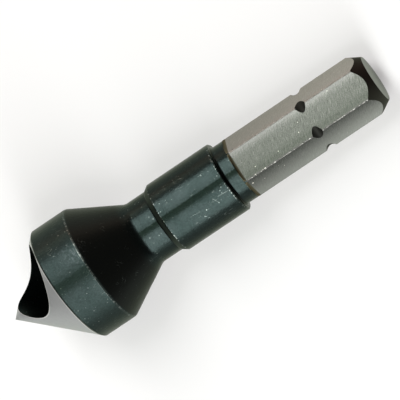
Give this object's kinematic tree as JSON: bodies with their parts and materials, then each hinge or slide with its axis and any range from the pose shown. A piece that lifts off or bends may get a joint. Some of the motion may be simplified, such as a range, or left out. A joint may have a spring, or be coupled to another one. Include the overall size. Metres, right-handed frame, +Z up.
{
  "type": "countersink bit",
  "caption": "Countersink bit with a conical point, one oblique through hole as its flute, a stepped neck and a grooved hex shank.",
  "frame": {"origin": "centre of the footprint of the bit lying at rest, on the surface it lies on", "axes": "+X along the bit towards the shank, falling by about 6 degrees from it; +Z up; +Y across the bit"},
  "size_m": [0.0478, 0.014, 0.0144],
  "materials": {
    "black_oxide": "satin black oxide on turned tool steel, lightly scratched",
    "ground_steel": "bare ground steel, fine grinding lines"
  },
  "bodies": {
    "root": {"countersink_bit": "black_oxide"}
  },
  "joints": []
}
